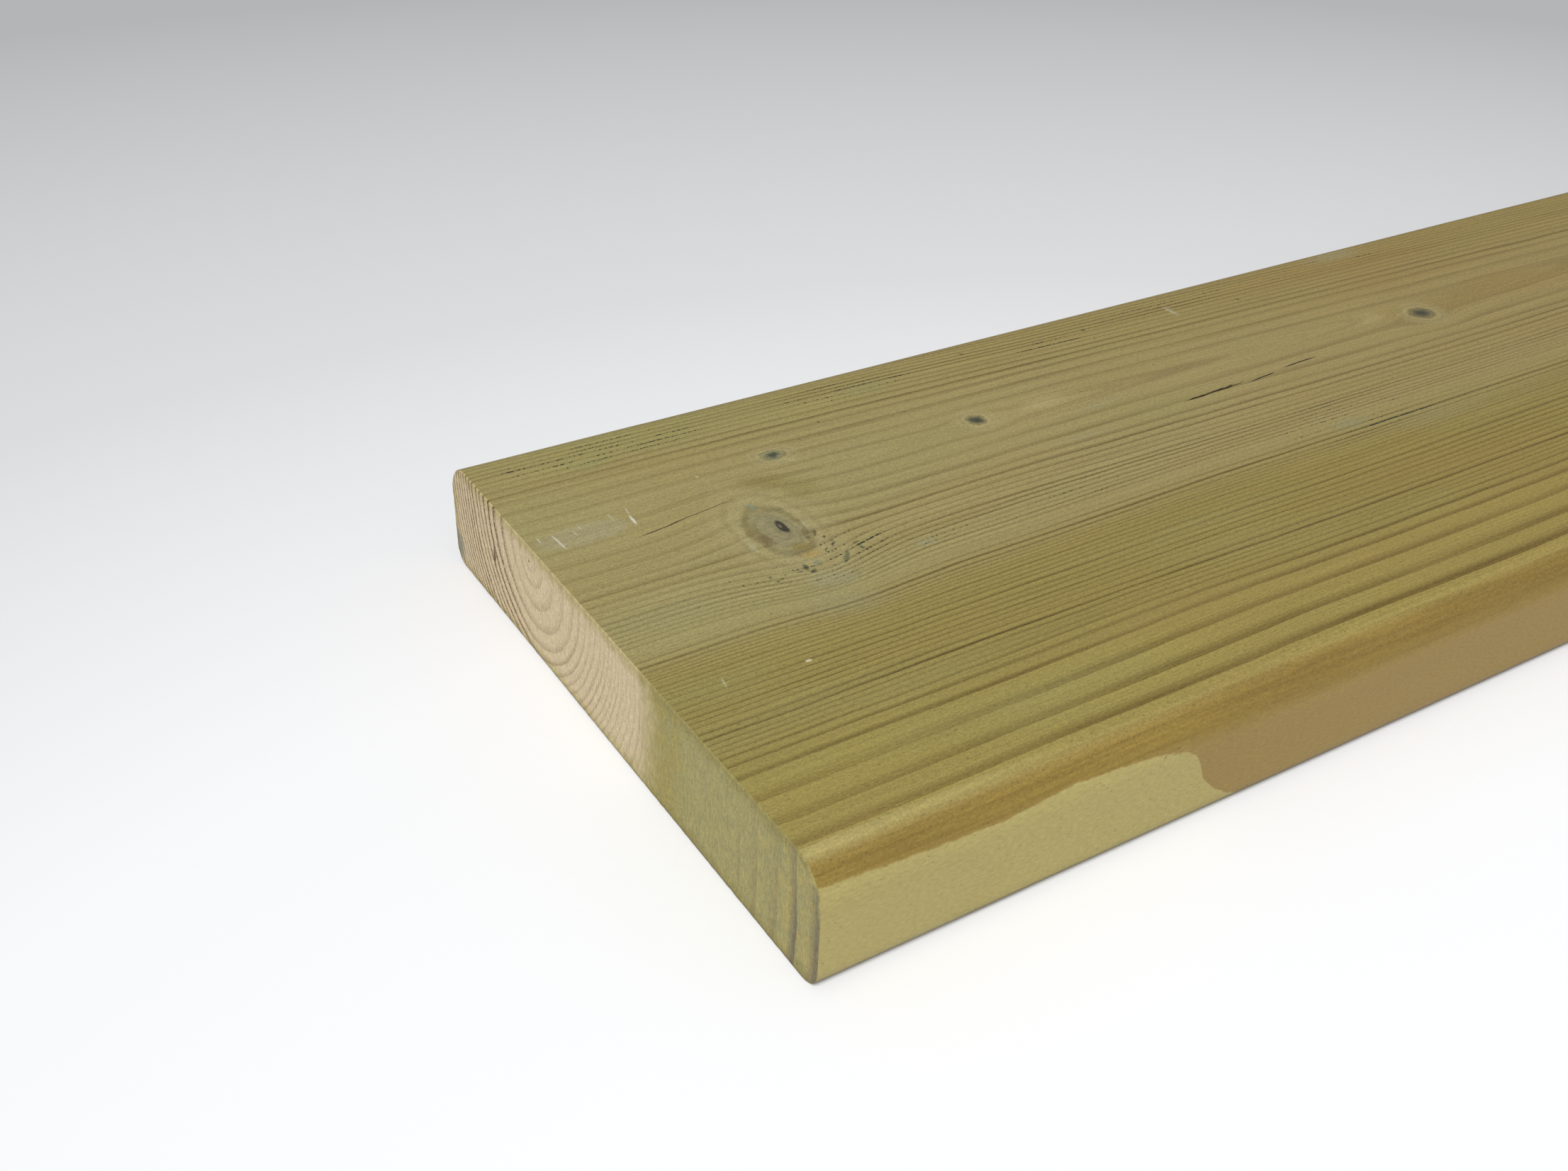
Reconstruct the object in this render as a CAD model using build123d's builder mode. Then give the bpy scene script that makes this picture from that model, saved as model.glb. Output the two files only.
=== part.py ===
from build123d import *
import os

# Pressure-treated pine board, planed on all four long sides and lying flat. Lengths in millimetres.
# X runs along the grain, Y across the board and Z up, from the middle of the underside.

LENGTH = 1800.0  # stock length, from one sawn end to the other
WIDTH = 145.0  # planed from a 150 mm sawn plank
THICKNESS = 25.0
FACE_EDGE_RADIUS = 7.5  # rounding along both long edges of the upper face
BACK_EDGE_RADIUS = 4.0  # smaller rounding along both long edges of the underside

# The planer leaves one section all along the board: a rectangle that stands on the floor line,
# with its two upper corners rounded well over and its two lower corners only eased.
with BuildPart() as board:
    with BuildSketch(Plane.YZ.offset(-LENGTH / 2)) as section:
        Rectangle(WIDTH, THICKNESS, align=(Align.CENTER, Align.MIN))
        upper_corners = section.vertices().group_by(Axis.Y)[-1]
        fillet(upper_corners, radius=FACE_EDGE_RADIUS)
        lower_corners = section.vertices().group_by(Axis.Y)[0]
        fillet(lower_corners, radius=BACK_EDGE_RADIUS)
    # Both ends are left as the cross-cut saw leaves them, square and with sharp edges.
    extrude(amount=LENGTH)
board.part.label = "board"

os.makedirs("parts", exist_ok=True)
export_step(board.part, "parts/board.step")
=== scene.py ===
import math

import bpy
from mathutils import Matrix, Vector


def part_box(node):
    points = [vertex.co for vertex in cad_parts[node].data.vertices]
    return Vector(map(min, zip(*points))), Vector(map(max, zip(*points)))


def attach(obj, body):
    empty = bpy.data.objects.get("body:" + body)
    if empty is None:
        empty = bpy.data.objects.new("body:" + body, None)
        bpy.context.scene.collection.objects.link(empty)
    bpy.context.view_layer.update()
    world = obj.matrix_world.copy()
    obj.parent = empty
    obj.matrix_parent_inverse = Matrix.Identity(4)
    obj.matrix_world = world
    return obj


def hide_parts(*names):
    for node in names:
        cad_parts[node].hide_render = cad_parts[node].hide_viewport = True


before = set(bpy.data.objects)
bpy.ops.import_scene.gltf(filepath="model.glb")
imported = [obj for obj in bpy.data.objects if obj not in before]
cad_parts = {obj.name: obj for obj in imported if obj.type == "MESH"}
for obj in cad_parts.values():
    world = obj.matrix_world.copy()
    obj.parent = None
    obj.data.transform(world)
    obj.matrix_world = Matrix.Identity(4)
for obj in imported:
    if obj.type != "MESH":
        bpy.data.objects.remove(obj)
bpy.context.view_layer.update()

# The board is one piece of pine, planed on its four long sides, with its upper edges well rounded and its
# lower ones only eased, and cross-cut square. Lengths are in millimetres along it from the sawn end in
# view, across it from its front edge, and up from the floor.
MM = 0.001
low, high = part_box("board")
LENGTH, WIDTH, THICKNESS = (high - low) / MM
FACE_EDGE_RADIUS = 7.5
BACK_EDGE_RADIUS = 4.0
SAWN_EDGE_BREAK = 0.3


def pick_edges(test):
    """Selects, in edit mode, the edges whose two end points in millimetres pass the test."""
    bpy.ops.object.mode_set(mode="OBJECT")
    bpy.context.tool_settings.mesh_select_mode = (False, True, False)
    mesh = bpy.context.object.data
    points = [(v.co - low) / MM for v in mesh.vertices]
    for group in (mesh.polygons, mesh.edges, mesh.vertices):
        group.foreach_set("select", [False] * len(group))
    for edge in mesh.edges:
        edge.select = test(*(points[i] for i in edge.vertices))
    bpy.ops.object.mode_set(mode="EDIT")


bpy.ops.object.select_all(action="DESELECT")
bpy.ops.mesh.primitive_cube_add(size=1.0, location=(low + high) / 2, scale=high - low)
board = bpy.context.object
board.name = "pine_board"
bpy.ops.object.transform_apply(location=True, rotation=True, scale=True)
bpy.ops.object.mode_set(mode="EDIT")

# The planer's cutters round the four long edges, and handling has just broken the edge of the saw cut.
for height, radius, steps in ((THICKNESS, FACE_EDGE_RADIUS, 8), (0.0, BACK_EDGE_RADIUS, 5)):
    pick_edges(lambda a, b: abs(a.x - b.x) > 1.0 and abs(a.z - height) + abs(b.z - height) < 0.01)
    bpy.ops.mesh.bevel(offset=radius * MM, segments=steps, profile=0.5, affect="EDGES")
pick_edges(lambda a, b: abs(a.x - b.x) < 0.01 and min(a.x, LENGTH - a.x) < 0.01)
bpy.ops.mesh.bevel(offset=SAWN_EDGE_BREAK * MM, segments=1, affect="EDGES")

# Cuts give the relief points to move: close together near the sawn end in view, over the wide rings of the
# front edge and along the drying split, and further apart over the plain rest. Each run of cuts is its
# start, its end and the step between.
CUTS = (
    ((1, 0, 0), ((1.6, 130.0, 1.6), (132.0, 270.0, 2.0), (284.0, LENGTH - 10.0, 18.0))),
    ((0, 1, 0), ((7.5, 30.0, 0.75), (31.0, 88.8, 0.95), (89.2, 92.8, 0.36), (93.6, 137.5, 0.95))),
    ((0, 0, 1), ((1.2, 24.0, 1.3),)),
)
for normal, runs in CUTS:
    for start, end, step in runs:
        for i in range(int((end - start) / step + 1.001)):
            bpy.ops.mesh.select_all(action="SELECT")
            place = low + Vector(normal) * (start + step * i) * MM
            bpy.ops.mesh.bisect(plane_co=place, plane_no=normal)
bpy.ops.mesh.select_all(action="SELECT")
bpy.ops.mesh.normals_make_consistent(inside=False)
bpy.ops.object.mode_set(mode="OBJECT")

MATH, VECTOR, RANGE = "ShaderNodeMath", "ShaderNodeVectorMath", "ShaderNodeMapRange"
NOISE, CURVE, MIX = "ShaderNodeTexNoise", "ShaderNodeFloatCurve", "ShaderNodeMix"


def wire(tree, kind, inputs, out=0, points=(), **settings):
    """Adds one node with its settings, sets or links its inputs, and gives one of its outputs."""
    made = tree.nodes.new(kind)
    for name, value in settings.items():
        setattr(made, name, value)
    for key, value in inputs.items() if isinstance(inputs, dict) else enumerate(inputs):
        if isinstance(value, bpy.types.NodeSocket):
            tree.links.new(value, made.inputs[key])
        else:
            made.inputs[key].default_value = value
    if points:
        line = made.mapping.curves[0]
        line.points[0].location, line.points[1].location = points[0], points[-1]
        for point in points[1:-1]:
            line.points.new(*point)
        for point in line.points:
            point.handle_type = "VECTOR"
        made.mapping.update()
    return made.outputs[out]


# The log as it grew. The pith runs through the board beside its middle, and dives and wanders along it. Its
# place is given along the length. The rings are wide in the first years and again in the last, which the
# front edge cuts through.
PITH_ACROSS = (
    (0, 0.0), (110, -0.4), (220, -2.0), (480, -5.0), (800, 1.0), (1150, -2.5), (1500, 3.0), (1800, -1.0),
)
PITH_UP = (
    (0, 23.1), (60, 21.8), (220, 17.0), (480, 10.0), (800, 14.0), (1150, 19.0), (1500, 12.0), (1800, 9.0),
)
PITH_SWING, PITH_RISE = 6.0, 25.0
NEAR_CENTRE, FAR_CENTRE, FRONT_CENTRE_UP = 105.0, 102.0, 9.0
# Each ring of the log: the radius at which its summer wood stops, and how dark that is.
RINGS = (
    (3.3, 0.3), (6.5, 0.26), (11.4, 0.3), (16.2, 0.4), (20.2, 0.4), (22.8, 0.8), (25.2, 0.6), (27.2, 0.45),
    (28.9, 0.5), (31.0, 0.6), (32.4, 0.9), (33.9, 0.75), (35.4, 0.5), (36.7, 0.55), (38.0, 0.75), (39.5, 0.5),
    (41.0, 0.2), (42.6, 0.2), (44.4, 0.5), (46.3, 0.95), (47.8, 0.7), (48.9, 0.5), (49.9, 0.5), (50.9, 0.5),
    (51.9, 0.4), (53.3, 0.55), (54.5, 0.4), (55.8, 0.4), (57.1, 0.5), (59.2, 0.55), (60.9, 0.5), (62.4, 0.55),
    (64.1, 0.6), (65.4, 0.5), (66.8, 0.4), (68.8, 0.65), (70.6, 1.0), (72.0, 0.5), (73.2, 0.4), (74.5, 0.4),
    (76.0, 0.5), (78.3, 0.65), (81.5, 0.6), (86.9, 0.62), (93.0, 0.68), (98.6, 0.85), (105.0, 0.9),
    (111.0, 0.9), (117.0, 0.9), (123.0, 0.9), (130.0, 0.9),
)
RADIUS_SPAN = 130.0
# The stem sways slowly, and each line shivers a little: how far, and over what lengths.
SWAY, SWAY_LENGTHS = 3.6, (120.0, 36.0, 36.0)
SHIVER, SHIVER_LENGTHS = 0.5, (17.0, 4.0, 4.0)
# Each year's summer wood comes and goes over about this length.
YEAR_LENGTH = 60.0
# The last ring but one stops along this line on the front edge, at a height for each length.
LAST_RING = (
    (0, 20.6), (20, 19.6), (35, 19.1), (50, 20.1), (62, 19.6), (70, 18.6), (75, 17.2), (77.5, 15.6),
    (79, 13.0), (80.5, 9.0), (84, 5.4), (88, 2.6), (94, 0.4), (100, 0.0),
)
LAST_RING_SPAN, LAST_RING_RISE = 100.0, 25.0
LAST_RING_DEPTH = 1.6

# Branches that the planer cut through: the middle of each knot, its half sizes along, across and through
# the board, how far it pushed the grain aside, and its colour.
KNOTS = (
    ((45.6, 86.6, 25.0), (5.6, 9.8, 14.0), 9.0, "#8b8462"),
    ((60.8, 113.6, 25.0), (2.9, 2.0, 8.0), 1.5, "#878a69"),
    ((109.6, 105.5, 25.0), (2.4, 2.3, 10.0), 6.0, "#5f5f4a"),
    ((249.6, 97.9, 25.0), (3.5, 3.1, 12.0), 8.0, "#69664e"),
    ((476.0, 78.0, 25.0), (5.0, 4.4, 12.0), 5.0, "#7f7650"),
    ((868.0, 94.0, 25.0), (7.0, 8.0, 16.0), 8.0, "#827850"),
    ((1288.0, 88.0, 25.0), (6.0, 6.5, 14.0), 7.0, "#7d7350"),
    ((1683.0, 97.0, 25.0), (5.5, 5.5, 14.0), 6.0, "#827850"),
    ((846.0, 108.0, 0.0), (5.0, 4.0, 10.0), 5.0, "#7d7350"),
    ((1309.0, 101.0, 0.0), (6.5, 5.5, 12.0), 6.0, "#7f7650"),
)
GRAIN_REACH = (2.6, 1.6, 1.6)
GRAIN_LEAN = (0.0, -0.45, 0.0)


def grow(tree, position):
    """Wires up the wood as it grew, at a position in metres, and gives its measures by name."""
    place = wire(tree, VECTOR, (position, (1 / MM,) * 3, -low / MM), operation="MULTIPLY_ADD")
    along, across, up = wire(tree, "ShaderNodeSeparateXYZ", (place,)).node.outputs
    slow = wire(tree, VECTOR, (place, SWAY_LENGTHS), operation="DIVIDE")
    sway = wire(tree, NOISE, {"Vector": slow, "Scale": 1.0, "Detail": 1.0}, out=1)
    quick = wire(tree, VECTOR, (place, SHIVER_LENGTHS), operation="DIVIDE")
    shiver = wire(tree, NOISE, {"Vector": quick, "Scale": 1.0, "Detail": 1.0}, out=1)
    mean = (SWAY + SHIVER) / 2
    moved = wire(tree, VECTOR, (sway, (0.0, SWAY, SWAY), place), operation="MULTIPLY_ADD")
    moved = wire(tree, VECTOR, (shiver, (0.0, SHIVER, SHIVER), moved), operation="MULTIPLY_ADD")
    moved = wire(tree, VECTOR, (moved, (0.0, mean, mean)), operation="SUBTRACT")
    # Each branch parts the grain round it, more on its front side.
    for centre, half, push, _ in KNOTS:
        middle = [c + lean * h for c, lean, h in zip(centre, GRAIN_LEAN, half)]
        away = wire(tree, VECTOR, (place, middle), operation="SUBTRACT")
        reach = wire(tree, VECTOR, (away, [r * h for r, h in zip(GRAIN_REACH, half)]), operation="DIVIDE")
        square = wire(tree, VECTOR, (reach, reach), out=1, operation="DOT_PRODUCT")
        fade = wire(tree, MATH, (1 / math.e, square), operation="POWER")
        shove = wire(tree, MATH, (fade, push), operation="MULTIPLY")
        shift = wire(tree, VECTOR, {0: reach, 3: shove}, operation="SCALE")
        moved = wire(tree, VECTOR, (moved, shift), operation="SUBTRACT")
    _, side, rise = wire(tree, "ShaderNodeSeparateXYZ", (moved,)).node.outputs
    # The stem grew wider on the front side of the pith, where its rings stand upright in the board.
    way = wire(tree, MATH, (along, LENGTH), operation="DIVIDE")
    swing = wire(tree, CURVE, {"Value": way},
                 points=[(a / LENGTH, 0.5 + b / 2 / PITH_SWING) for a, b in PITH_ACROSS])
    swing = wire(tree, RANGE, {"Value": swing, "To Min": -PITH_SWING, "To Max": PITH_SWING})
    fade = wire(tree, RANGE, {"Value": side, "From Min": 60.0, "From Max": 92.0, "To Max": swing},
                interpolation_type="SMOOTHSTEP")
    middle = wire(tree, RANGE, {"Value": side, "From Min": 100.0, "From Max": 114.0, "To Min": NEAR_CENTRE,
                                "To Max": FAR_CENTRE}, interpolation_type="SMOOTHSTEP")
    middle = wire(tree, MATH, (middle, fade), operation="ADD")
    pith = wire(tree, CURVE, {"Value": way}, points=[(a / LENGTH, b / PITH_RISE) for a, b in PITH_UP])
    pith = wire(tree, MATH, (pith, PITH_RISE), operation="MULTIPLY")
    level = wire(tree, RANGE, {"Value": side, "From Min": 25.0, "From Max": 80.0, "To Min": FRONT_CENTRE_UP,
                               "To Max": pith}, interpolation_type="SMOOTHSTEP")
    aside = wire(tree, MATH, (side, middle), operation="SUBTRACT")
    above = wire(tree, MATH, (rise, level), operation="SUBTRACT")
    spoke = wire(tree, "ShaderNodeCombineXYZ", (0.0, aside, above))
    radius = wire(tree, VECTOR, (spoke,), out=1, operation="LENGTH")
    # Outside the line of the last ring the front edge is still in the dark wood of the ring before it.
    start = wire(tree, MATH, (along, LAST_RING_SPAN), operation="DIVIDE")
    brink = wire(tree, CURVE, {"Value": start},
                 points=[(a / LAST_RING_SPAN, b / LAST_RING_RISE) for a, b in LAST_RING])
    brink = wire(tree, MATH, (brink, LAST_RING_RISE), operation="MULTIPLY")
    ripple = wire(tree, NOISE, {"Vector": place, "Scale": 0.3, "Detail": 3.0})
    brink = wire(tree, MATH, (ripple, 1.0, brink), operation="MULTIPLY_ADD")
    over = wire(tree, MATH, (up, brink), operation="SUBTRACT")
    dark = wire(tree, RANGE, {"Value": over, "From Min": 0.2, "From Max": 0.8, "To Max": LAST_RING_DEPTH},
                interpolation_type="SMOOTHSTEP")
    dark = wire(tree, RANGE, {"Value": across, "From Min": 6.0, "From Max": 2.5, "To Max": dark},
                interpolation_type="SMOOTHSTEP")
    radius = wire(tree, MATH, (radius, dark), operation="SUBTRACT")
    share = wire(tree, MATH, (radius, RADIUS_SPAN), operation="DIVIDE")
    years = len(RINGS)
    count = wire(tree, CURVE, {"Value": share},
                 points=[(0, 0)] + [(r / RADIUS_SPAN, (i + 1) / years) for i, (r, _) in enumerate(RINGS)])
    count = wire(tree, MATH, (count, years), operation="MULTIPLY")
    ring = wire(tree, MATH, (count,), operation="FLOOR")
    season = wire(tree, MATH, (count,), operation="FRACT")
    which = wire(tree, MATH, (ring, 1 / years, 0.5 / years), operation="MULTIPLY_ADD")
    weight = wire(tree, CURVE, {"Value": which},
                  points=[((i + 0.5) / years, s) for i, (_, s) in enumerate(RINGS)])
    # Summer wood builds up slowly through each season and stops short at its end. It is broader in the years
    # when it is dark, and each year's comes and goes along the board.
    build = wire(tree, RANGE, {"Value": season, "From Min": 0.4, "From Max": 0.9},
                 interpolation_type="SMOOTHSTEP")
    stop = wire(tree, RANGE, {"Value": season, "From Min": 1.0, "From Max": 0.96},
                interpolation_type="SMOOTHSTEP")
    thin = wire(tree, RANGE, {"Value": weight, "To Min": 2.0, "To Max": 1.15})
    build = wire(tree, MATH, (build, thin), operation="POWER")
    late = wire(tree, MATH, (build, stop), operation="MULTIPLY")
    course = wire(tree, MATH, (along, YEAR_LENGTH), operation="DIVIDE")
    own = wire(tree, MATH, (ring, 3.7), operation="MULTIPLY")
    spot = wire(tree, NOISE, {"Vector": wire(tree, "ShaderNodeCombineXYZ", (course, own, 0.0)), "Detail": 2.0,
                              "Scale": 1.0})
    spot = wire(tree, RANGE, {"Value": spot, "From Min": 0.3, "From Max": 0.7, "To Min": 0.75, "To Max": 1.5})
    late = wire(tree, MATH, (late, weight), operation="MULTIPLY")
    late = wire(tree, MATH, (late, spot), operation="MULTIPLY", use_clamp=True)
    return {"place": place, "along": along, "across": across, "up": up, "radius": radius, "late": late,
            "season": season, "count": count, "weight": weight, "dark": dark}


def oval(tree, place, centre, half, turn=0.0):
    """How far a point lies from the middle of an oval turned in the face, 1 on its rim."""
    away = wire(tree, VECTOR, (place, centre), operation="SUBTRACT")
    if turn:
        away = wire(tree, "ShaderNodeVectorRotate", {"Vector": away, "Angle": -math.radians(turn)},
                    rotation_type="Z_AXIS")
    share = wire(tree, VECTOR, (away, half), operation="DIVIDE")
    return wire(tree, VECTOR, (share,), out=1, operation="LENGTH")


def blot(tree, place, centre, half, turn=0.0, core=0.5, peak=1.0):
    """How far a point lies in an oval mark: its peak in the core, fading to 0 at its rim."""
    gap = oval(tree, place, centre, half, turn)
    return wire(tree, RANGE, {"Value": gap, "From Min": 1.0, "From Max": core, "To Max": peak},
                interpolation_type="SMOOTHSTEP")


# Drying splits in the upper face: where each starts and ends along and across, and half its width.
SPLITS = (
    ((19.5, 97.5), (33.0, 99.6), 0.21),
    ((27.0, 98.9), (46.0, 101.7), 0.17),
    ((157.0, 89.7), (179.5, 90.9), 0.42),
    ((178.5, 89.8), (189.5, 90.9), 0.26),
    ((191.2, 91.7), (205.5, 92.4), 0.26),
)
SPLIT_TAPER = 0.25


def split_open(tree, wood, least=0.0, inset=0.0):
    """How far a point lies in a drying split of at least this half width: 1 at its middle, 0 at its lips.
    The lips can be set in, so that the hollow is narrower than the dark line that it leaves."""
    jag = wire(tree, NOISE, {"Vector": wood["place"], "Scale": 0.3, "Detail": 3.0})
    jagged = wire(tree, MATH, (jag, 0.5, wood["across"]), operation="MULTIPLY_ADD")
    top = wire(tree, RANGE, {"Value": wood["up"], "From Min": THICKNESS - 6.0, "From Max": THICKNESS - 3.0})
    opening = None
    for (start, start_side), (end, end_side), half in SPLITS:
        if half < least:
            continue
        line = wire(tree, RANGE, {"Value": wood["along"], "From Min": start, "From Max": end,
                                  "To Min": start_side + 0.25, "To Max": end_side + 0.25})
        off = wire(tree, MATH, (jagged, line), operation="SUBTRACT")
        off = wire(tree, MATH, (off,), operation="ABSOLUTE")
        taper = SPLIT_TAPER * (end - start)
        width = wire(tree, RANGE, {"Value": wood["along"], "From Min": start, "From Max": start + taper,
                                   "To Max": half})
        width = wire(tree, RANGE, {"Value": wood["along"], "From Min": end, "From Max": end - taper,
                                   "To Max": width})
        inside = wire(tree, MATH, (width, off), operation="SUBTRACT")
        inside = wire(tree, MATH, (inside, inset), operation="SUBTRACT")
        inside = wire(tree, RANGE, {"Value": inside, "From Min": 0.0, "From Max": half * 0.4, "To Max": top})
        inside = wire(tree, MATH, (inside, min(1.0, half * 4.0)), operation="MULTIPLY")
        opening = inside if opening is None else wire(tree, MATH, (opening, inside), operation="MAXIMUM")
    return opening

# The relief is moved inwards only, so the board keeps its planed size: spring wood has sunk a little below
# the summer wood, the big knot and the wide split are hollow, and the saw has torn the end grain.
SPRING_SINK = 0.06
SPLIT_DEPTH = 0.6
WIDE_SPLIT = 0.4
LIP = 0.15
KNOT_CORE = ((47.2, 87.5, 25.0), (1.15, 3.1, 4.0))
KNOT_CORE_DEPTH = 0.7
SAW_DEPTH = 0.22
relief = bpy.data.node_groups.new("wood_relief", "GeometryNodeTree")
relief.interface.new_socket("Geometry", in_out="INPUT", socket_type="NodeSocketGeometry")
relief.interface.new_socket("Geometry", in_out="OUTPUT", socket_type="NodeSocketGeometry")
wood = grow(relief, wire(relief, "GeometryNodeInputPosition", ()))
normal = wire(relief, "GeometryNodeInputNormal", ())
facing = wire(relief, "ShaderNodeSeparateXYZ", (normal,))
facing = wire(relief, MATH, (facing,), operation="ABSOLUTE")
sawn = wire(relief, RANGE, {"Value": facing, "From Min": 0.3, "From Max": 0.9})
sink = wire(relief, RANGE, {"Value": wood["late"], "To Min": SPRING_SINK, "To Max": 0.0})
gape = split_open(relief, wood, WIDE_SPLIT, LIP)
sink = wire(relief, MATH, (gape, SPLIT_DEPTH, sink), operation="MULTIPLY_ADD")
core = blot(relief, wood["place"], *KNOT_CORE, core=0.2)
sink = wire(relief, MATH, (core, KNOT_CORE_DEPTH, sink), operation="MULTIPLY_ADD")
torn = wire(relief, NOISE, {"Vector": wood["place"], "Scale": 0.6, "Detail": 2.0})
torn = wire(relief, MATH, (torn, SAW_DEPTH), operation="MULTIPLY")
sink = wire(relief, RANGE, {"Value": sawn, "To Min": sink, "To Max": torn})
inward = wire(relief, MATH, (sink, -MM), operation="MULTIPLY")
offset = wire(relief, VECTOR, {0: normal, 3: inward}, operation="SCALE")
plain = wire(relief, "NodeGroupInput", ())
shaped = wire(relief, "GeometryNodeSetPosition", {"Geometry": plain, "Offset": offset})
relief.links.new(shaped, relief.nodes.new("NodeGroupOutput").inputs[0])
bpy.ops.object.modifier_add(type="NODES")
board.modifiers[-1].node_group = relief
bpy.ops.object.modifier_apply(modifier=board.modifiers[-1].name)
bpy.ops.object.shade_smooth_by_angle(angle=math.radians(28))

# The board's own UV map: along the length and round the section in strips, with more room for the end in
# view, and each sawn end in a corner of its own.
NEAR_LENGTH = 300.0
NEAR_SHARE = 0.36
STRIPS = {"top": (0.46, 0.88), "under": (0.18, 0.44), "front": (0.09, 0.165), "back": (0.01, 0.075)}
END_STRIP = (0.90, 0.99)
LEFT_SPAN, RIGHT_SPAN = (0.01, 0.48), (0.52, 0.99)
layer = board.data.uv_layers.new(name="OFBake")
for face in board.data.polygons:
    ahead, out, upright = face.normal
    for corner in face.loop_indices:
        x, y, z = (board.data.vertices[board.data.loops[corner].vertex_index].co - low) / MM
        if abs(ahead) > 0.6:
            span = LEFT_SPAN if ahead < 0 else RIGHT_SPAN
            u = span[0] + (span[1] - span[0]) * y / WIDTH
            strip, share = END_STRIP, z / THICKNESS
        else:
            near = x / NEAR_LENGTH * NEAR_SHARE
            far = NEAR_SHARE + (x - NEAR_LENGTH) / (LENGTH - NEAR_LENGTH) * (1 - NEAR_SHARE)
            u = 0.01 + 0.98 * (near if x < NEAR_LENGTH else far)
            if abs(upright) > abs(out):
                strip, share = STRIPS["top" if upright > 0 else "under"], y / WIDTH
            else:
                strip, share = STRIPS["back" if out > 0 else "front"], z / THICKNESS
        layer.data[corner].uv = (u, strip[0] + (strip[1] - strip[0]) * share)

# Pressure-treated pine: planed softwood that copper salts have stained olive, deep in the sapwood of the
# front edge and only skin deep in the paler heartwood. Fine brown lines of summer wood run along it, black
# specks sit in its pores, and the fresh saw cut shows the untreated heart.
SAP_SPRING, SAP_SUMMER = "#948649", "#6a5928"
HEART_SPRING, HEART_SUMMER = "#978c5d", "#665830"
NARROW_SPRING, NARROW_SUMMER = "#8e8047", "#594a1e"
HEART_RADII, NARROW_RADII = (56.0, 38.0), (84.0, 78.0)
# Marks on the upper face: middle along and across, half sizes, turn in degrees, strength and colour. Stains
# are soft, and torn grain, pits and scratches are sharp.
STAINS = (
    ((46.9, 88.0), (2.7, 6.0), 0, 0.5, "#716a50"),
    ((41.6, 88.0), (2.0, 7.6), 0, 0.55, "#74673d"),
    ((41.6, 84.6), (1.7, 2.6), 0, 0.6, "#67563a"),
    ((46.3, 79.4), (3.2, 2.4), 0, 0.7, "#7f6f3a"),
    ((46.6, 76.0), (3.4, 1.5), 0, 0.6, "#a88d50"),
    ((45.7, 97.2), (1.2, 2.2), 0, 0.6, "#76836a"),
    ((38.0, 83.6), (1.0, 3.4), 0, 0.5, "#a3a37c"),
    ((42.6, 78.2), (1.6, 3.0), 20, 0.5, "#8a8560"),
    ((51.4, 85.6), (0.7, 3.4), -14, 0.6, "#aaa37e"),
    ((49.6, 82.6), (0.8, 4.2), -16, 0.55, "#655c3c"),
    ((53.4, 104.0), (9.0, 5.0), -24, 0.5, "#796d36"),
    ((58.6, 98.6), (7.5, 5.0), 30, 0.4, "#7c7038"),
    ((46.0, 66.6), (8.0, 4.0), -10, 0.35, "#898970"),
    ((43.0, 59.0), (13.0, 6.0), -12, 0.2, "#8b8a72"),
    ((69.0, 68.8), (3.0, 1.8), 0, 0.3, "#8a9278"),
    ((12.0, 71.0), (16.0, 5.0), 0, 0.2, "#8b8b68"),
    ((62.4, 110.6), (3.8, 0.8), -24, 0.5, "#a69e74"),
    ((129.0, 105.0), (11.0, 3.6), 0, 0.5, "#a4986b"),
    ((140.0, 98.2), (12.0, 1.4), 4, 0.25, "#85866a"),
    ((125.0, 88.0), (14.0, 1.6), 0, 0.2, "#86866a"),
    ((24.0, 129.0), (9.0, 3.0), 0, 0.3, "#858a58"),
    ((96.0, 130.6), (11.0, 3.0), 0, 0.25, "#7f855e"),
    ((184.0, 63.6), (9.0, 2.6), 0, 0.3, "#80836b"),
    ((205.0, 57.0), (22.0, 4.0), 0, 0.25, "#8a8564"),
    ((191.6, 130.0), (1.0, 3.6), 0, 0.6, "#a5a78a"),
    ((234.0, 102.0), (7.0, 4.0), 0, 0.35, "#a39568"),
    ((245.0, 102.4), (5.0, 2.6), 20, 0.5, "#81763f"),
    ((259.0, 137.0), (15.0, 4.0), 0, 0.3, "#8f9076"),
)
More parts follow.
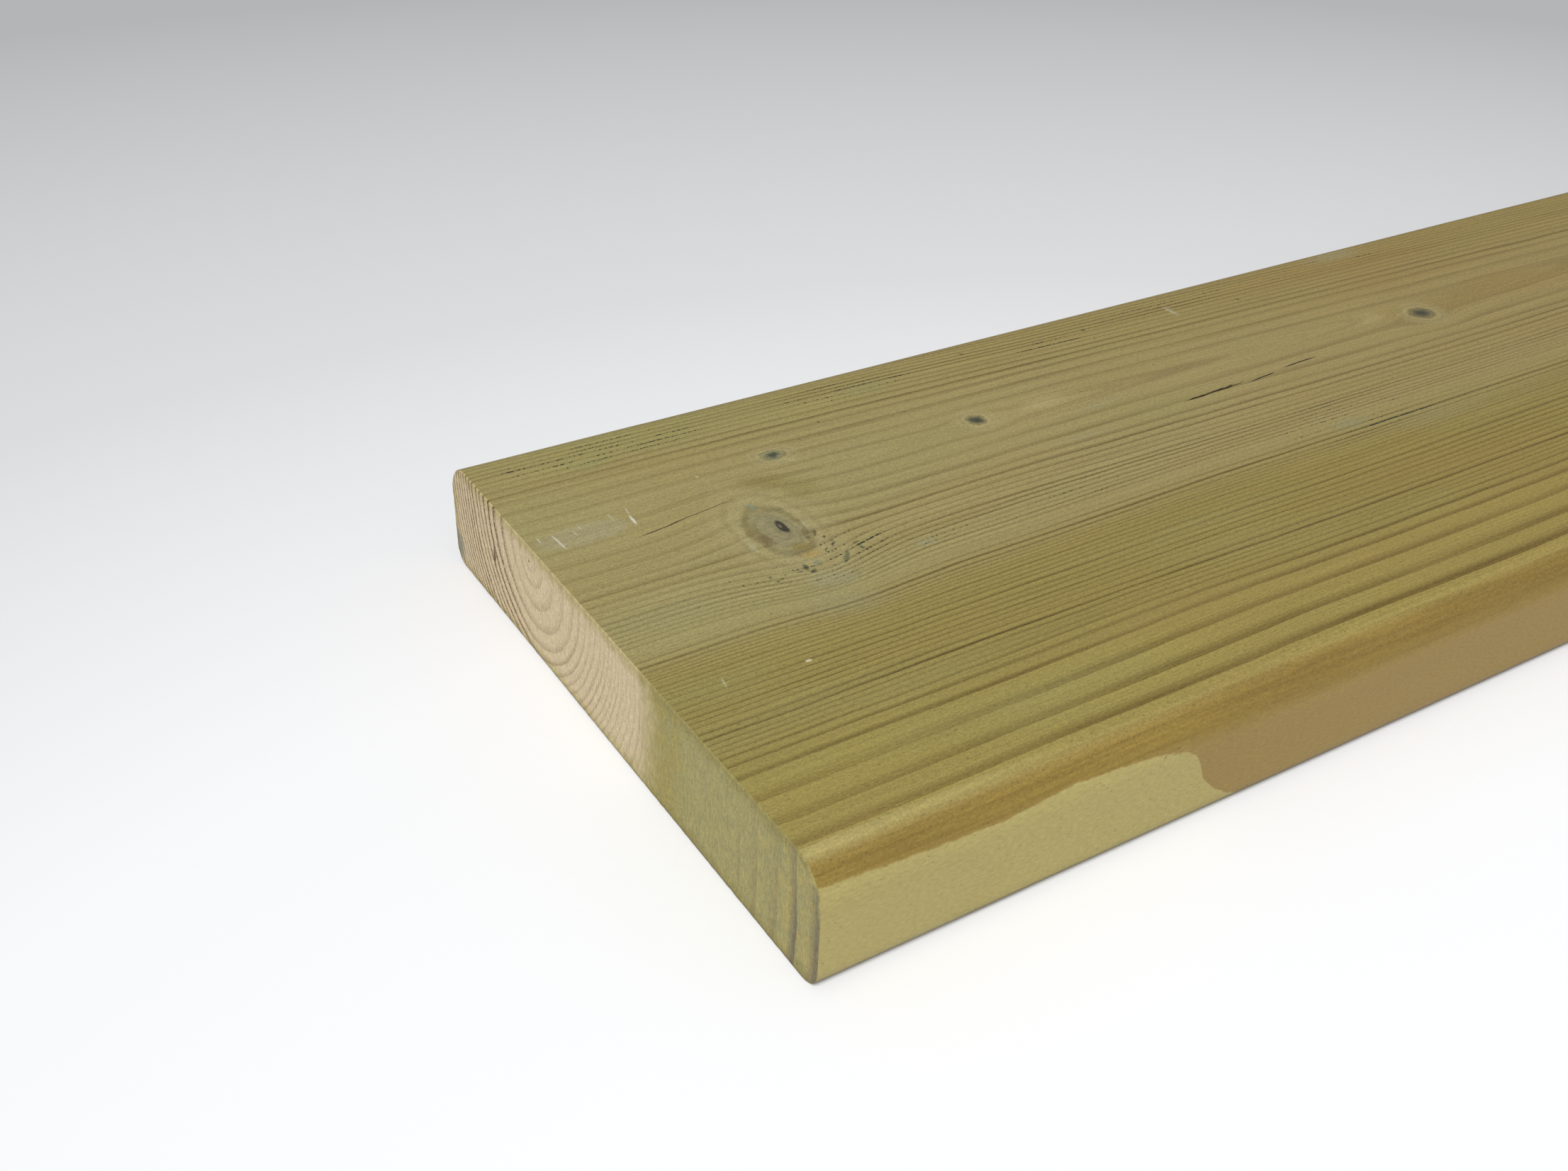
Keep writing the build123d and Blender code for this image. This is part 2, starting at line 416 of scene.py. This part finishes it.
TEARS = (
    ((43.0, 72.6), (0.6, 1.8), -8, 0.85, "#3c4433"),
    ((43.9, 70.9), (1.3, 0.5), -20, 0.85, "#3c4433"),
    ((41.3, 71.8), (1.1, 0.5), -10, 0.75, "#465040"),
    ((46.0, 73.0), (1.5, 1.3), 0, 0.5, "#6d765e"),
    ((52.4, 72.3), (2.9, 0.9), 47, 0.8, "#5c5d42"),
    ((51.2, 70.7), (1.2, 0.35), 40, 0.8, "#33382a"),
    ((57.0, 73.6), (0.8, 1.0), 0, 0.8, "#414b3c"),
    ((50.2, 76.0), (0.7, 0.45), 30, 0.8, "#383c28"),
    ((52.4, 77.0), (1.6, 0.4), 28, 0.85, "#383c28"),
    ((51.5, 82.4), (1.7, 0.5), 62, 0.75, "#4c4a2e"),
    ((52.3, 80.4), (0.9, 0.4), 70, 0.75, "#45452c"),
    ((53.0, 78.3), (0.5, 0.35), 0, 0.8, "#383c28"),
    ((56.4, 75.5), (1.7, 0.4), 14, 0.8, "#4a4528"),
    ((35.5, 72.6), (0.6, 0.5), 0, 0.7, "#4b4f39"),
    ((36.0, 71.2), (0.6, 0.45), 0, 0.75, "#43472f"),
    ((38.6, 72.2), (0.6, 0.4), 0, 0.6, "#4b4f39"),
    ((49.4, 81.7), (0.4, 0.6), 0, 0.6, "#4b4a34"),
    ((77.6, 121.4), (0.6, 0.45), 0, 0.8, "#4a3f22"),
    ((69.5, 116.7), (0.5, 0.4), 0, 0.5, "#4f4c30"),
    ((97.0, 116.7), (0.6, 0.4), 0, 0.6, "#46462f"),
    ((127.3, 134.8), (0.7, 0.6), 0, 0.75, "#3c3a24"),
    ((163.0, 131.5), (0.8, 0.7), 0, 0.7, "#3f4632"),
    ((212.8, 127.4), (0.7, 0.7), 0, 0.7, "#43503f"),
)
SCRATCHES = (
    ((6.0, 103.4), (0.34, 3.9), 4, 0.6, "#c9c8b6"),
    ((22.4, 104.0), (0.42, 2.3), -3, 0.75, "#cfcebd"),
    ((22.9, 107.5), (0.3, 1.8), -8, 0.45, "#bdbca4"),
    ((19.0, 107.0), (0.5, 1.8), 0, 0.3, "#b3b29a"),
    ((2.8, 105.8), (0.26, 1.3), 0, 0.5, "#c2c1ad"),
    ((10.2, 105.0), (0.22, 1.1), 0, 0.45, "#c2c1ad"),
    ((11.8, 106.4), (0.26, 0.9), 0, 0.45, "#c2c1ad"),
    ((11.3, 48.4), (0.3, 2.1), -12, 0.4, "#bdb895"),
    ((27.5, 46.7), (0.9, 0.45), 0, 0.75, "#cfc9a6"),
    ((42.0, 113.0), (0.5, 0.4), 0, 0.6, "#c9c3a0"),
)
# The worn patch by the saw cut, its paler grey partly wear and partly a painted sheen: its middle and half
# sizes.
WORN_SHEEN_PATCH = ((11.5, 103.8, 25.0), (12.5, 4.4, 3.0))
# How strongly the rings show on the saw cut, by their radius.
END_LINES = (
    (0, 0.45), (14, 0.32), (26, 0.28), (44, 0.22), (50, 0.06), (78, 0.12), (86, 0.3), (95, 0.3), (97, 0.7),
    (130, 0.8),
)


def linear(code):
    """An sRGB hex colour as linear RGBA."""
    shares = [int(code[i:i + 2], 16) / 255 for i in (1, 3, 5)]
    return (*(s / 12.92 if s <= 0.04045 else ((s + 0.055) / 1.055) ** 2.4 for s in shares), 1.0)


def over(tree, colour, *layers, blend_type="MIX"):
    """Lays colours over a colour, one after another, each with its share."""
    for share, code in layers:
        colour = wire(tree, MIX, {0: share, 6: colour, 7: linear(code)}, out=2, data_type="RGBA",
                      blend_type=blend_type)
    return colour


timber = bpy.data.materials.new("pressure_treated_pine")
timber.use_nodes = True
tree = timber.node_tree
surface = tree.nodes["Principled BSDF"]
wood = grow(tree, wire(tree, "ShaderNodeTexCoord", (), out=3))
place, along, across, up = (wood[name] for name in ("place", "along", "across", "up"))
facing = wire(tree, "ShaderNodeTexCoord", (), out=1)
ahead, out, upright = wire(tree, "ShaderNodeSeparateXYZ", (facing,)).node.outputs
ahead = wire(tree, MATH, (ahead,), operation="ABSOLUTE")
sawn = wire(tree, RANGE, {"Value": ahead, "From Min": 0.5, "From Max": 0.8})
face = wire(tree, RANGE, {"Value": upright, "From Min": 0.3, "From Max": 0.8})

# Fibres a few hundredths of a millimetre thick, drawn ten times as thick so that they show, the short flecks
# that the planer lifts between them, and the grit of the cut pores. Sizes in millimetres.
FLECK_SIZE = (1.2, 0.5, 0.5)
FIBRE_LENGTH, FIBRE_WIDTH = 50.0, 0.42
GRIT_PER_MM = 2.4
MOTTLE_SIZE = (70.0, 15.0, 15.0)
fleck_place = wire(tree, VECTOR, (place, FLECK_SIZE), operation="DIVIDE")
fleck = wire(tree, NOISE, {"Vector": fleck_place, "Scale": 1.0, "Detail": 2.0, "Roughness": 0.7})
course = wire(tree, MATH, (along, FIBRE_LENGTH), operation="DIVIDE")
sheet = wire(tree, MATH, (wood["radius"], FIBRE_WIDTH), operation="DIVIDE")
fibre_place = wire(tree, "ShaderNodeCombineXYZ", (course, sheet, 0.0))
fibre = wire(tree, NOISE, {"Vector": fibre_place, "Scale": 1.0, "Detail": 2.0})
grit = wire(tree, NOISE, {"Vector": place, "Scale": GRIT_PER_MM, "Detail": 1.0})
mottle_place = wire(tree, VECTOR, (place, MOTTLE_SIZE), operation="DIVIDE")
mottle = wire(tree, NOISE, {"Vector": mottle_place, "Scale": 1.0, "Detail": 2.0})

# Heartwood and sapwood, each with its spring and summer wood.
heart = wire(tree, RANGE, {"Value": wood["radius"], "From Min": HEART_RADII[0], "From Max": HEART_RADII[1]},
             interpolation_type="SMOOTHSTEP")
narrow = wire(tree, RANGE, {"Value": wood["radius"], "From Min": NARROW_RADII[0],
                            "From Max": NARROW_RADII[1]})
spring = over(tree, linear(SAP_SPRING), (narrow, NARROW_SPRING), (heart, HEART_SPRING))
summer = over(tree, linear(SAP_SUMMER), (narrow, NARROW_SUMMER), (heart, HEART_SUMMER))
rough_line = wire(tree, RANGE, {"Value": fleck, "From Min": 0.3, "From Max": 0.7, "To Min": 1.06,
                                "To Max": 0.88})
calm = wire(tree, RANGE, {"Value": along, "From Min": 20.0, "From Max": 60.0, "To Min": 0.65, "To Max": 1.0})
fading = wire(tree, RANGE, {"Value": along, "From Min": 130.0, "From Max": 270.0, "To Min": 1.0,
                            "To Max": 0.8})
fading = wire(tree, RANGE, {"Value": heart, "To Min": 1.0, "To Max": fading})
calm = wire(tree, MATH, (calm, fading), operation="MULTIPLY")
between = wire(tree, MATH, (narrow, heart), operation="SUBTRACT", use_clamp=True)
calm = wire(tree, RANGE, {"Value": between, "To Min": calm, "To Max": 1.0})
line = wire(tree, MATH, (wood["late"], calm), operation="MULTIPLY")
line = wire(tree, MATH, (line, rough_line), operation="MULTIPLY", use_clamp=True)
colour = wire(tree, MIX, {0: line, 6: spring, 7: summer}, out=2, data_type="RGBA")
green = wire(tree, RANGE, {"Value": mottle, "From Min": 0.5, "From Max": 0.75, "To Max": 0.35})
brown = wire(tree, RANGE, {"Value": mottle, "From Min": 0.5, "From Max": 0.25, "To Max": 0.3})
far_side = wire(tree, RANGE, {"Value": across, "From Min": 112.0, "From Max": 128.0})
# Darker and browner further along from the sawn end and towards the back: partly the wood's own colour,
# partly a painted fall-off of the light.
drift_and_painted_falloff = wire(tree, RANGE, {"Value": across, "From Min": 50.0, "From Max": 95.0, "To Min": 0.65,
                           "To Max": 1.0})
drift_and_painted_falloff = wire(tree, RANGE, {"Value": along, "From Min": 30.0, "From Max": 290.0, "To Max": drift_and_painted_falloff})
colour = over(tree, colour, (green, "#8d8a57"), (brown, "#927d47"))
colour = over(tree, colour, (far_side, "#fcfaf0"), (drift_and_painted_falloff, "#f2e6dd"), blend_type="MULTIPLY")

# The front edge, where the last dark ring ends on the pale wood of the next, and the pale strip and the dark
# band on the rounding above it.
STREAK_SIZE = (30.0, 0.7, 0.7)
shown = wire(tree, RANGE, {"Value": across, "From Min": 6.8, "From Max": 2.5},
             interpolation_type="SMOOTHSTEP")
band = wire(tree, MATH, (wood["dark"], 0.9 / LAST_RING_DEPTH), operation="MULTIPLY")
pale = wire(tree, MATH, (shown, band), operation="SUBTRACT", use_clamp=True)
arris = wire(tree, RANGE, {"Value": up, "From Min": 18.0, "From Max": 21.5, "To Max": band})
strip = wire(tree, RANGE, {"Value": across, "From Min": 3.4, "From Max": 5.4},
             interpolation_type="SMOOTHSTEP")
strip = wire(tree, RANGE, {"Value": across, "From Min": 7.1, "From Max": 6.5, "To Max": strip},
             interpolation_type="SMOOTHSTEP")
strip = wire(tree, RANGE, {"Value": along, "From Min": 60.0, "From Max": 2.0, "To Min": 0.0, "To Max": strip})
upper = wire(tree, RANGE, {"Value": up, "From Min": 20.0, "From Max": 23.0, "To Max": 0.6})
strip = wire(tree, MATH, (strip, upper), operation="MULTIPLY")
deep = wire(tree, RANGE, {"Value": along, "From Min": 70.0, "From Max": 100.0, "To Max": arris})
streak_place = wire(tree, VECTOR, (place, STREAK_SIZE), operation="DIVIDE")
streak = wire(tree, NOISE, {"Vector": streak_place, "Scale": 1.0, "Detail": 3.0})
streak = wire(tree, RANGE, {"Value": streak, "From Min": 0.5, "From Max": 0.7, "To Max": 0.4})
streak = wire(tree, MATH, (streak, arris), operation="MULTIPLY")
colour = over(tree, colour, (pale, "#a4975f"), (band, "#917944"), (arris, "#867134"), (deep, "#7f6934"),
              (streak, "#664f22"), (strip, "#a99d66"))

# Knots with a dark rim and rings of their own, stains, the worn patch by the saw cut, whose grey is partly
# wear and partly a painted sheen, torn grain and scratches. Their outlines are ragged.
ragged = wire(tree, NOISE, {"Vector": place, "Scale": 0.5, "Detail": 2.0}, out=1)
ragged = wire(tree, VECTOR, (ragged, (2.0, 2.0, 0.0), place), operation="MULTIPLY_ADD")
ragged = wire(tree, VECTOR, (ragged, (1.0, 1.0, 0.0)), operation="SUBTRACT")
nearest = 9.0
for centre, half, _, code in KNOTS:
    gap = oval(tree, ragged, centre, half)
    body = wire(tree, RANGE, {"Value": gap, "From Min": 1.08, "From Max": 0.6, "To Max": 0.85})
    colour = over(tree, colour, (body, code))
    nearest = wire(tree, MATH, (nearest, gap), operation="MINIMUM")
halo = wire(tree, RANGE, {"Value": nearest, "From Min": 2.6, "From Max": 1.15, "To Max": 0.55})
halo = wire(tree, RANGE, {"Value": nearest, "From Min": 1.0, "From Max": 1.15, "To Max": halo})
edge = wire(tree, RANGE, {"Value": nearest, "From Min": 1.18, "From Max": 1.02, "To Max": 0.4})
edge = wire(tree, RANGE, {"Value": nearest, "From Min": 0.78, "From Max": 1.0, "To Max": edge})
inner = wire(tree, MATH, (nearest, 22.0), operation="MULTIPLY")
inner = wire(tree, MATH, (inner,), operation="SINE")
inner = wire(tree, RANGE, {"Value": inner, "From Min": 0.0, "From Max": 1.0, "To Max": 0.22})
inner = wire(tree, RANGE, {"Value": nearest, "From Min": 1.0, "From Max": 0.9, "To Max": inner})
flow = wire(tree, MATH, (nearest, 9.0), operation="MULTIPLY")
flow = wire(tree, MATH, (flow,), operation="SINE")
flow = wire(tree, RANGE, {"Value": flow, "From Min": 0.2, "From Max": 1.0, "To Max": 0.3})
flow = wire(tree, RANGE, {"Value": nearest, "From Min": 2.8, "From Max": 1.5, "To Max": flow})
flow = wire(tree, RANGE, {"Value": nearest, "From Min": 1.1, "From Max": 1.3, "To Max": flow})
pit = wire(tree, RANGE, {"Value": nearest, "From Min": 0.85, "From Max": 0.25, "To Max": 0.85})
small = wire(tree, RANGE, {"Value": along, "From Min": 52.0, "From Max": 57.0, "To Max": pit})
small = wire(tree, RANGE, {"Value": along, "From Min": 300.0, "From Max": 290.0, "To Max": small})
colour = over(tree, colour, (halo, "#a0956a"), (flow, "#7d6f45"), (edge, "#665d3b"), (inner, "#5c5238"),
              (small, "#34342a"))
for (x, y), (half_x, half_y), turn, peak, code in STAINS:
    stain = blot(tree, ragged, (x, y, THICKNESS), (half_x, half_y, 5.0), turn, core=0.2, peak=peak)
    colour = over(tree, colour, (stain, code))
core = blot(tree, place, *KNOT_CORE, core=0.6, peak=0.92)
pupil = blot(tree, place, (47.0, 88.1, THICKNESS), (0.5, 1.1, 4.0), core=0.2, peak=0.8)
# The worn patch, with a painted sheen laid on as paler grey.
worn_sheen = blot(tree, ragged, *WORN_SHEEN_PATCH, core=0.6, peak=0.35)
colour = over(tree, colour, (core, "#2c2923"), (pupil, "#6f6a55"), (worn_sheen, "#9c977e"))
for (x, y), (half_x, half_y), turn, peak, code in TEARS:
    mark = blot(tree, ragged, (x, y, THICKNESS), (half_x, half_y, 3.0), turn, core=0.3, peak=peak)
    colour = over(tree, colour, (mark, code))
for (x, y), (half_x, half_y), turn, peak, code in SCRATCHES:
    mark = blot(tree, place, (x, y, THICKNESS), (half_x, half_y, 3.0), turn, core=0.45, peak=peak)
    colour = over(tree, colour, (mark, code))

# Black-green specks in the pores, strung along the lines of summer wood where the planer tore them. The
# worst places are given by their middle, half sizes and strength.
TORN_PLACES = (
    ((56.0, 74.5), (12.0, 8.0), 1.15), ((45.0, 70.0), (16.0, 7.0), 1.05), ((72.0, 72.0), (14.0, 8.0), 0.95),
    ((28.0, 72.0), (22.0, 8.0), 0.8), ((120.0, 71.0), (80.0, 9.0), 0.75), ((186.0, 66.0), (32.0, 13.0), 0.95),
    ((198.0, 60.3), (18.0, 3.0), 1.35), ((225.0, 58.0), (22.0, 5.0), 0.9), ((30.0, 132.5), (44.0, 6.5), 1.15),
    ((92.0, 132.0), (28.0, 6.5), 1.1), ((151.0, 129.4), (16.0, 3.0), 1.35),
    ((190.0, 134.0), (34.0, 5.0), 1.1), ((250.0, 133.0), (40.0, 6.0), 0.9),
)
TICK_LENGTH, TICKS_PER_RING = 0.6, 2.3
CLUSTER_SIZE, DOT_SIZE = (11.0, 1.8, 1.8), (0.9, 0.5, 0.5)
run = wire(tree, MATH, (along, TICK_LENGTH), operation="DIVIDE")
row = wire(tree, MATH, (wood["count"], TICKS_PER_RING), operation="MULTIPLY")
rows = wire(tree, "ShaderNodeCombineXYZ", (run, row, 0.0))
dash = wire(tree, NOISE, {"Vector": rows, "Scale": 1.0, "Detail": 1.0})
string = wire(tree, RANGE, {"Value": wood["season"], "From Min": 0.68, "From Max": 0.8})
string = wire(tree, RANGE, {"Value": wood["season"], "From Min": 1.0, "From Max": 0.94, "To Max": string})
cluster_place = wire(tree, VECTOR, (place, CLUSTER_SIZE), operation="DIVIDE")
cluster = wire(tree, NOISE, {"Vector": cluster_place, "Scale": 1.0, "Detail": 1.0})
torn = 0.0
for (x, y), (half_x, half_y), peak in TORN_PLACES:
    zone = blot(tree, place, (x, y, THICKNESS), (half_x, half_y, 5.0), core=0.5, peak=peak)
    torn = wire(tree, MATH, (torn, zone), operation="MAXIMUM")
tick = wire(tree, MATH, (cluster, 0.7, dash), operation="MULTIPLY_ADD")
tick = wire(tree, MATH, (torn, 0.4, tick), operation="MULTIPLY_ADD")
tick = wire(tree, RANGE, {"Value": tick, "From Min": 1.34, "From Max": 1.42, "To Max": string})
tick = wire(tree, MATH, (tick, face), operation="MULTIPLY")
dot_place = wire(tree, VECTOR, (place, DOT_SIZE), operation="DIVIDE")
dot = wire(tree, NOISE, {"Vector": dot_place, "Scale": 1.0, "Detail": 0.0})
dot = wire(tree, RANGE, {"Value": dot, "From Min": 0.76, "From Max": 0.84, "To Max": 0.5})
crack = split_open(tree, wood)
colour = over(tree, colour, (dot, "#5c5636"), (tick, "#2a2f21"), (crack, "#2a1e10"))
even = wire(tree, RANGE, {"Value": face, "To Min": 0.2, "To Max": 1.0})
tone = wire(tree, MATH, (fibre, even, fleck), operation="MULTIPLY_ADD")
middle = wire(tree, MATH, (even, 0.5, 0.5), operation="MULTIPLY_ADD")
tone = wire(tree, MATH, (tone, middle), operation="SUBTRACT")
tone = wire(tree, RANGE, {"Value": tone, "From Min": -0.4, "From Max": 0.4, "To Min": 0.65, "To Max": 1.35})
sparkle = wire(tree, MATH, (grit, 0.5), operation="SUBTRACT")
sparkle = wire(tree, MATH, (sparkle, even, tone), operation="MULTIPLY_ADD")
tone = wire(tree, MATH, (sparkle, 0.6, 0.4), operation="MULTIPLY_ADD")
colour = wire(tree, VECTOR, {0: colour, 3: tone}, operation="SCALE")

# The saw cut: pale heart, blotchy olive sapwood, and a rim that the salts reached from the planed faces. Its
# ring lines are faint, but dark and dotted on the far side of the pith.
nibble = wire(tree, NOISE, {"Vector": place, "Scale": 0.25, "Detail": 4.0, "Roughness": 0.7})
depth = wire(tree, MATH, (THICKNESS, up), operation="SUBTRACT")
depth = wire(tree, MATH, (depth, up), operation="MINIMUM")
back = wire(tree, MATH, (WIDTH, across), operation="SUBTRACT")
depth = wire(tree, MATH, (depth, back), operation="MINIMUM")
depth = wire(tree, MATH, (nibble, -6.0, depth), operation="MULTIPLY_ADD")
rim = wire(tree, RANGE, {"Value": depth, "From Min": 0.2, "From Max": -2.4, "To Max": 0.8})
border = wire(tree, MATH, (nibble, 13.0, wood["radius"]), operation="MULTIPLY_ADD")
border = wire(tree, MATH, (grit, 8.0, border), operation="MULTIPLY_ADD")
reach = wire(tree, RANGE, {"Value": border, "From Min": 54.5, "From Max": 68.0},
             interpolation_type="SMOOTHSTEP")
rust = wire(tree, RANGE, {"Value": border, "From Min": 76.0, "From Max": 66.0, "To Max": reach})
cloud = wire(tree, NOISE, {"Vector": place, "Scale": 0.3, "Detail": 5.0, "Roughness": 0.7})
grey = wire(tree, RANGE, {"Value": cloud, "From Min": 0.45, "From Max": 0.7, "To Max": reach})
gold = wire(tree, RANGE, {"Value": across, "From Min": 24.0, "From Max": 8.0, "To Min": 0.1, "To Max": 0.8})
gold = wire(tree, RANGE, {"Value": cloud, "From Min": 0.55, "From Max": 0.3, "To Max": gold})
skin = wire(tree, MATH, (rim, reach), operation="MULTIPLY")
gold = wire(tree, MATH, (gold, reach), operation="MULTIPLY")
cut = over(tree, linear("#c4b391"), (rim, "#a89b68"), (reach, "#9b9361"), (rust, "#988b4f"),
           (grey, "#908a60"), (gold, "#a8955a"), (skin, "#897f4b"))
sharp = wire(tree, RANGE, {"Value": wood["season"], "From Min": 0.5, "From Max": 0.88})
sharp = wire(tree, RANGE, {"Value": wood["season"], "From Min": 1.0, "From Max": 0.95, "To Max": sharp})
span = wire(tree, MATH, (wood["radius"], RADIUS_SPAN), operation="DIVIDE")
strength = wire(tree, CURVE, {"Value": span}, points=[(a / RADIUS_SPAN, b) for a, b in END_LINES])
bold = wire(tree, RANGE, {"Value": wood["radius"], "From Min": 13.0, "From Max": 17.0, "To Min": strength,
                          "To Max": 0.95})
far_end = wire(tree, RANGE, {"Value": across, "From Min": 104.0, "From Max": 114.0, "To Min": strength,
                             "To Max": bold})
dotted = wire(tree, RANGE, {"Value": grit, "From Min": 0.62, "From Max": 0.4, "To Min": 0.6, "To Max": 1.3})
clear = wire(tree, RANGE, {"Value": up, "From Min": 21.0, "From Max": 9.0, "To Min": 0.55, "To Max": 1.15})
dotted = wire(tree, RANGE, {"Value": across, "From Min": 104.0, "From Max": 114.0, "To Min": clear,
                            "To Max": dotted})
end_line = wire(tree, MATH, (sharp, far_end), operation="MULTIPLY")
year = wire(tree, RANGE, {"Value": wood["weight"], "From Min": 0.3, "From Max": 0.9, "To Min": 0.75,
                          "To Max": 1.35})
end_line = wire(tree, MATH, (end_line, year), operation="MULTIPLY")
end_line = wire(tree, MATH, (end_line, dotted), operation="MULTIPLY", use_clamp=True)
ring_line = wire(tree, MIX, {0: reach, 6: linear("#694b33"), 7: linear("#736a52")}, out=2, data_type="RGBA")
cut = wire(tree, MIX, {0: end_line, 6: cut, 7: ring_line}, out=2, data_type="RGBA")
seam = blot(tree, ragged, (0.0, 123.2, 12.8), (4.0, 0.9, 3.6), core=0.3, peak=0.9)
spot = blot(tree, ragged, (0.0, 105.0, 21.6), (4.0, 0.6, 0.5), core=0.3, peak=0.7)
mould = blot(tree, ragged, (0.0, 144.0, 4.5), (4.0, 4.0, 5.5), core=0.3, peak=0.75)
cut = over(tree, cut, (seam, "#5a412a"), (spot, "#6d5238"), (mould, "#73766a"))
saw_place = wire(tree, "ShaderNodeMapping", {"Vector": place, "Rotation": (math.radians(35), 0, 0),
                                             "Scale": (1.0, 1.8, 0.6)})
saw = wire(tree, NOISE, {"Vector": saw_place, "Scale": 1.0, "Detail": 3.0})
saw_tone = wire(tree, MATH, (saw, grit), operation="ADD")
saw_tone = wire(tree, RANGE, {"Value": saw_tone, "From Min": 0.6, "From Max": 1.4, "To Min": 0.75,
                              "To Max": 1.25})
cut = wire(tree, VECTOR, {0: cut, 3: saw_tone}, operation="SCALE")
colour = wire(tree, MIX, {0: sawn, 6: colour, 7: cut}, out=2, data_type="RGBA")
# A thin dark line painted along the foot of the sides as shade: a painted contact shadow, darker there than
# the rendered shadow alone makes it.
FOOT_SHADOW_HEIGHT, SAWN_FOOT_SHADOW_HEIGHT = 3.0, 1.1
height = wire(tree, RANGE, {"Value": sawn, "To Min": FOOT_SHADOW_HEIGHT, "To Max": SAWN_FOOT_SHADOW_HEIGHT})
foot_shadow = wire(tree, MATH, (height, up), operation="SUBTRACT")
foot_shadow = wire(tree, RANGE, {"Value": foot_shadow, "To Max": 0.55})
# The painted contact shadow, kept to the sides and the sawn end, not the underside.
side = wire(tree, RANGE, {"Value": upright, "From Min": -0.97, "From Max": -0.85, "To Max": foot_shadow})
colour = over(tree, colour, (side, "#453b31"))
tree.links.new(colour, surface.inputs["Base Color"])

# Planed summer wood is a little glossier than spring wood, and the saw cut is dull.
rough = wire(tree, RANGE, {"Value": wood["late"], "To Min": 0.68, "To Max": 0.58})
rough = wire(tree, RANGE, {"Value": sawn, "To Min": rough, "To Max": 0.85})
tree.links.new(rough, surface.inputs["Roughness"])
surface.inputs["Specular IOR Level"].default_value = 0.25
grain = wire(tree, RANGE, {"Value": sawn, "To Min": wire(tree, MATH, (tone, 0.07), operation="MULTIPLY"),
                            "To Max": wire(tree, MATH, (saw, 0.12), operation="MULTIPLY")})
bump = wire(tree, "ShaderNodeBump", {"Height": grain, "Distance": MM})
tree.links.new(bump, surface.inputs["Normal"])

board.data.materials.clear()
board.data.materials.append(timber)
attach(board, "root")
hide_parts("board")

# The stage is one sheet of white card that the board lies on, wide enough to reach far behind the board in
# every view. Its colour carries a painted pool of light: white in front of the sawn end, by the camera, and
# greying away from there as painted fall-off.
FLOOR_SIZE = 30.0
LIT_CENTRE = (-0.872, -0.267, 0.0)
LIT_REACH = 0.82
LIT_FALL = ((0, 0.95), (0.2, 0.935), (0.3, 0.885), (0.45, 0.675), (0.65, 0.54), (0.82, 0.43))
bpy.ops.object.select_all(action="DESELECT")
bpy.ops.mesh.primitive_plane_add(size=FLOOR_SIZE, location=(0, 0, low.z))
bpy.ops.object.transform_apply(location=True, rotation=True, scale=True)
floor = bpy.context.object
floor.name = "floor"
card = bpy.data.materials.new("white_card")
card.use_nodes = True
tree = card.node_tree
sheet = tree.nodes["Principled BSDF"]
place = wire(tree, "ShaderNodeTexCoord", (), out=3)
# Painted fall-off of the light: the card's colour darkens with distance from the lit centre.
span = wire(tree, VECTOR, (place, LIT_CENTRE), out=1, operation="DISTANCE")
span = wire(tree, MATH, (span, LIT_REACH), operation="DIVIDE", use_clamp=True)
fall = wire(tree, CURVE, {"Value": span}, points=[(a / LIT_REACH, b) for a, b in LIT_FALL])
shade = wire(tree, VECTOR, {0: linear("#fafbfd")[:3], 3: fall}, operation="SCALE")
tree.links.new(shade, sheet.inputs["Base Color"])
sheet.inputs["Roughness"].default_value = 0.9
sheet.inputs["Specular IOR Level"].default_value = 0.2
floor.data.materials.append(card)

# Soft light all round, and a broad lamp far off, high on the front left, for a little direction.
world = bpy.data.worlds.new("studio")
world.use_nodes = True
world.node_tree.nodes["Background"].inputs["Color"].default_value = (1, 1, 1, 1)
world.node_tree.nodes["Background"].inputs["Strength"].default_value = 0.4
bpy.context.scene.world = world
LAMP_WAY = Vector((1.0, 1.03, -1.89))
lamp = bpy.data.lights.new("softbox", "SUN")
lamp.energy = 2.8
lamp.angle = math.radians(21)
softbox = bpy.data.objects.new("softbox", lamp)
softbox.matrix_world = LAMP_WAY.to_track_quat("-Z", "Y").to_matrix().to_4x4()
bpy.context.scene.collection.objects.link(softbox)

# The camera stands at the height and angle from which the board is seen, its place in millimetres from the
# front corner of the sawn end.
CAMERA_PLACE = (-99.885, -141.599, 190.615)
CAMERA_AZIMUTH = -32.862
CAMERA_ELEVATION = 33.435
CAMERA_ROLL = 2.071
FOCAL_PIXELS = 2256.24
IMAGE_WIDTH = 2212
camera = bpy.data.cameras.new("camera")
camera.sensor_width = 36.0
camera.lens = camera.sensor_width * FOCAL_PIXELS / IMAGE_WIDTH
camera.clip_start = 0.01
viewer = bpy.data.objects.new("camera", camera)
bpy.context.scene.collection.objects.link(viewer)
turn, tilt = math.radians(CAMERA_AZIMUTH), math.radians(CAMERA_ELEVATION)
back = Vector((math.sin(turn) * math.cos(tilt), -math.cos(turn) * math.cos(tilt), math.sin(tilt)))
facing = (-back).to_track_quat("-Z", "Y").to_matrix().to_4x4()
roll = Matrix.Rotation(math.radians(CAMERA_ROLL), 4, "Z")
viewer.matrix_world = Matrix.Translation(low + Vector(CAMERA_PLACE) * MM) @ facing @ roll
bpy.context.scene.camera = viewer

bpy.context.scene.view_settings.view_transform = "Standard"
